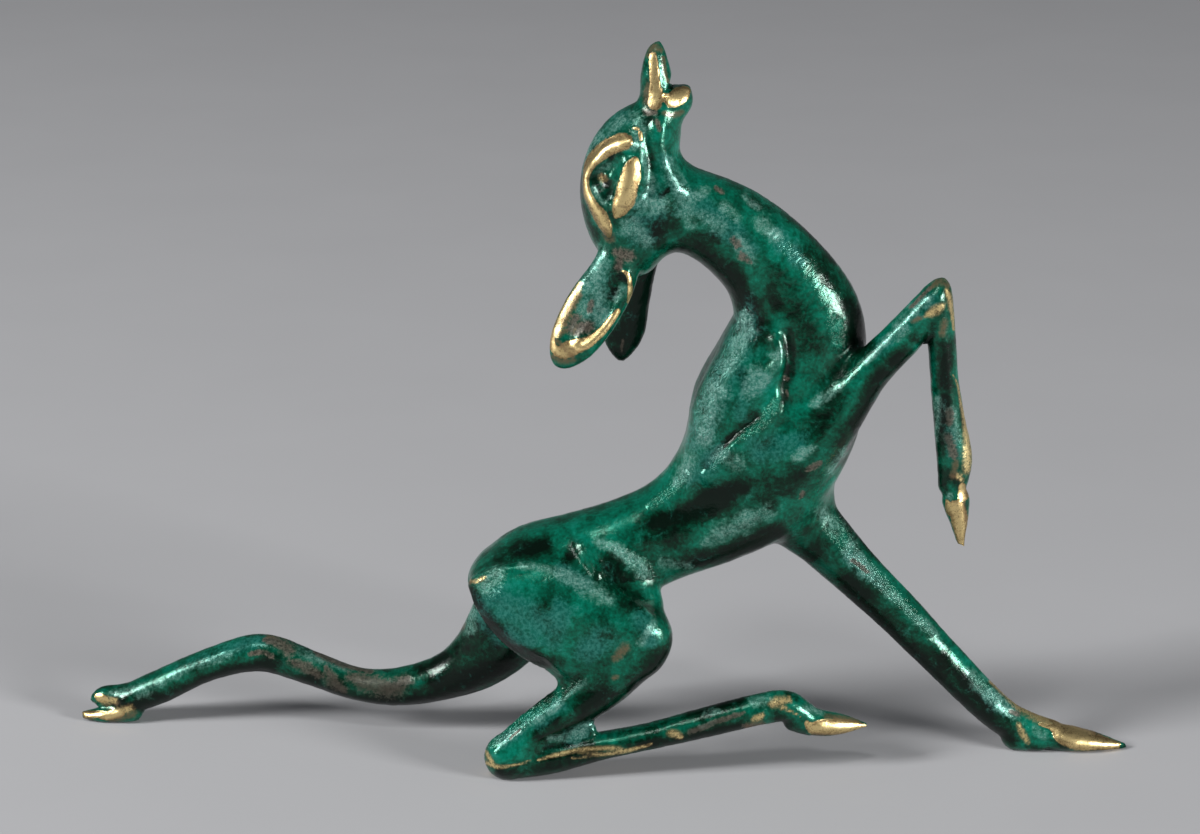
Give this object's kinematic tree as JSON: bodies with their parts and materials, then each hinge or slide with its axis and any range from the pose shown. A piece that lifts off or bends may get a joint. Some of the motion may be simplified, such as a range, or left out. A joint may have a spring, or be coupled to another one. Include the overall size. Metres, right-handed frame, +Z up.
{
  "type": "bronze fawn figure",
  "caption": "Small cast bronze fawn, kneeling with one hind leg stretched back and one foreleg raised, head thrown back, a tabletop sculpture.",
  "frame": {"origin": "middle of the figure's outline seen from above, on the plane its feet rest on", "axes": "+X along the figure from the stretched hind hoof towards the planted fore hoof, +Y across from the kneeling side to the side of the stretched leg, +Z up"},
  "size_m": [0.1293, 0.0221, 0.0876],
  "materials": {
    "patinated_bronze": "glossy deep green patina over solid cast bronze, bare golden metal on the hooves, muzzle, brow, cheek, ear rims and worn edges"
  },
  "bodies": {
    "root": {"fawn": "patinated_bronze"}
  },
  "joints": []
}
